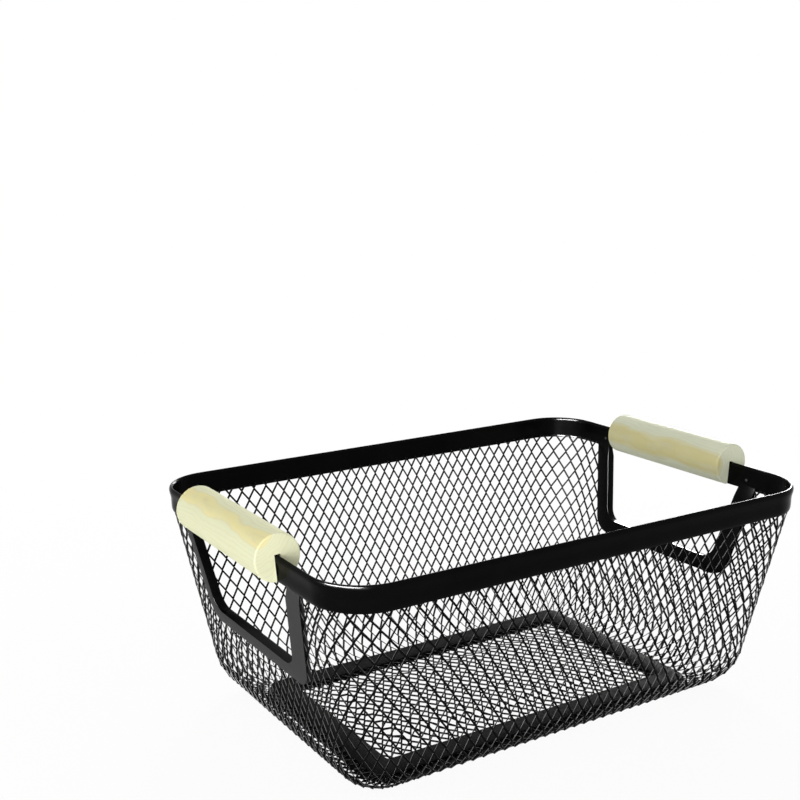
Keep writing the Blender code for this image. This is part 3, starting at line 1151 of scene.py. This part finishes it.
def make_grip(name, node, side, wood):
    bpy.ops.mesh.primitive_cylinder_add(
        vertices=grip_sides,
        radius=grip_radius,
        depth=grip_length,
        location=(side * grip_centre.x, 0, grip_centre.z),
        rotation=(math.pi / 2, 0, 0),
    )
    grip = take_new(name)
    bpy.ops.object.transform_apply(location=True, rotation=True, scale=True)
    apply_modifier(grip, "ends", "BEVEL", width=end_easing, segments=4, limit_method="ANGLE")
    cutter = make_slot_cutter(side)
    bpy.context.view_layer.update()
    apply_modifier(grip, "slot", "BOOLEAN", operation="DIFFERENCE", solver="EXACT", object=cutter)
    bpy.data.objects.remove(cutter, do_unlink=True)
    apply_modifier(
        grip,
        "slot_edges",
        "BEVEL",
        width=slot_easing,
        segments=2,
        limit_method="ANGLE",
        angle_limit=slot_edge_turn,
    )
    settle(grip)
    apply_modifier(grip, "flat_ends", "WEIGHTED_NORMAL", keep_sharp=True, weight=100)
    grip.data.materials.append(wood)
    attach(grip, "root")
    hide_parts(node)
    print(name, "has", len(grip.data.polygons), "faces")


make_grip("grip_dowel_left", "grip_left", -1, left_wood)
make_grip("grip_dowel_right", "grip_right", 1, right_wood)

# %% [markdown]
# ## Floor, light and camera
#
# The basket stands on a plain white sweep under soft light from all round, with four mild lamps
# that shade the round of the grips. The floor and the world count as white only to rays that come
# from the camera or from a reflection, so the picture's ground is white while the light on the
# basket stays plain.
#
# A black coat shows lamps only as reflections, and a photographer places strip lights just for
# those. Two lamps do that here. They are hidden from diffuse rays, so they brighten no surface:
# one at the upper left draws the line along the lip's near corner, and one low behind the basket
# draws the line where the lip's right end is seen at a glancing angle.
#
# The camera's place, its three angles in degrees and its lens were fitted to the outlines in the
# photograph, so the model can be compared with it point by point.

# %% Floor
floor_size = 6
shadow_reach = 0.2
fade_reach = 0.6
shadow_strength = 0.08


def seen_directly(nodes, links):
    """1 for rays from the camera, a reflection or glass, and 0 for light that falls on things."""
    rays = nodes.new("ShaderNodeLightPath")
    total = rays.outputs["Is Camera Ray"]
    for name in ("Is Glossy Ray", "Is Transmission Ray"):
        total = math_node(nodes, links, "MAXIMUM", total, rays.outputs[name])
    return total


def make_floor():
    bpy.ops.mesh.primitive_plane_add(size=floor_size)
    floor = take_new("studio_floor")
    material, nodes, links = new_material("floor_white")
    surface = nodes["Principled BSDF"]
    surface.inputs["Base Color"].default_value = (0.9, 0.9, 0.9, 1)
    surface.inputs["Roughness"].default_value = 0.9
    surface.inputs["Specular IOR Level"].default_value = 0
    glow = nodes.new("ShaderNodeEmission")
    place = nodes.new("ShaderNodeTexCoord")
    distance = vector_node(nodes, links, "LENGTH", place.outputs["Object"])
    fade = nodes.new("ShaderNodeMapRange")
    fade.inputs["From Min"].default_value = shadow_reach
    fade.inputs["From Max"].default_value = fade_reach
    fade.inputs["To Min"].default_value = 1 - shadow_strength
    links.new(distance, fade.inputs["Value"])
    seen = seen_directly(nodes, links)
    share = math_node(nodes, links, "MULTIPLY", seen, fade.outputs["Result"])
    blend = nodes.new("ShaderNodeMixShader")
    links.new(share, blend.inputs["Fac"])
    links.new(surface.outputs["BSDF"], blend.inputs[1])
    links.new(glow.outputs["Emission"], blend.inputs[2])
    links.new(blend.outputs["Shader"], nodes["Material Output"].inputs["Surface"])
    floor.data.materials.append(material)
    print("studio floor:", floor.dimensions.x, "m wide")


make_floor()

# %% World
ambient_strength = 0.55


def make_world():
    world = bpy.data.worlds.new("studio")
    world.use_nodes = True
    nodes, links = world.node_tree.nodes, world.node_tree.links
    background = nodes["Background"]
    background.inputs["Color"].default_value = (1, 1, 1, 1)
    strength = nodes.new("ShaderNodeMapRange")
    strength.inputs["To Min"].default_value = ambient_strength
    strength.inputs["To Max"].default_value = 1
    links.new(seen_directly(nodes, links), strength.inputs["Value"])
    links.new(strength.outputs["Result"], background.inputs["Strength"])
    bpy.context.scene.world = world
    print("world:", world.name)


make_world()

# %% Lamps
def add_area_lamp(name, place, size, power, gloss_only=False):
    """A soft lamp that points at the basket. One for gloss only shows in reflections alone."""
    bpy.ops.object.light_add(type="AREA", location=place)
    lamp = bpy.context.object
    lamp.name = name
    lamp.data.shape = "RECTANGLE"
    lamp.data.size, lamp.data.size_y = size
    lamp.data.energy = power
    lamp.visible_diffuse = not gloss_only
    aim = Vector((0, 0, basket_height / 2)) - Vector(place)
    lamp.rotation_euler = aim.to_track_quat("-Z", "Y").to_euler()


add_area_lamp("left_lamp", (-1.3, 0.1, 0.5), size=(0.6, 0.6), power=2)
add_area_lamp("back_lamp", (0.79, 1.27, 0.78), size=(0.35, 0.35), power=12)
add_area_lamp("right_back_lamp", (1.34, 0.90, 0.54), size=(0.3, 0.3), power=5)
add_area_lamp("front_lamp", (-0.75, -1.05, 0.25), size=(0.5, 0.5), power=9)
add_area_lamp("lip_strip", (-1.30, -0.53, 0.80), size=(1.8, 0.45), power=2600, gloss_only=True)
add_area_lamp("glancing_lamp", (1.34, 0.95, 0.42), size=(0.5, 0.6), power=40, gloss_only=True)

# %% Camera
camera_lens = 54.70
camera_turn = 31.87
camera_down = 12.15
camera_roll = -0.52
camera_place = (-395.6 * millimetre, -550.6 * millimetre, 321.6 * millimetre)


def make_camera():
    """A camera at the photograph's place, looking along its direction."""
    turn, down, roll = (math.radians(value) for value in (camera_turn, camera_down, camera_roll))
    forward = Vector(
        (math.cos(down) * math.sin(turn), math.cos(down) * math.cos(turn), -math.sin(down))
    )
    right = forward.cross(Vector((0, 0, 1))).normalized()
    up = right.cross(forward)
    rolled_right = math.cos(roll) * right + math.sin(roll) * up
    rolled_up = math.cos(roll) * up - math.sin(roll) * right
    bpy.ops.object.camera_add(location=camera_place)
    camera = bpy.context.object
    camera.rotation_euler = Matrix((rolled_right, rolled_up, -forward)).transposed().to_euler()
    camera.data.lens = camera_lens
    camera.data.clip_start = 10 * millimetre
    bpy.context.scene.camera = camera
    print("camera:", camera.data.lens, "mm, at", tuple(camera.location))


make_camera()
bpy.context.scene.view_settings.view_transform = "Standard"
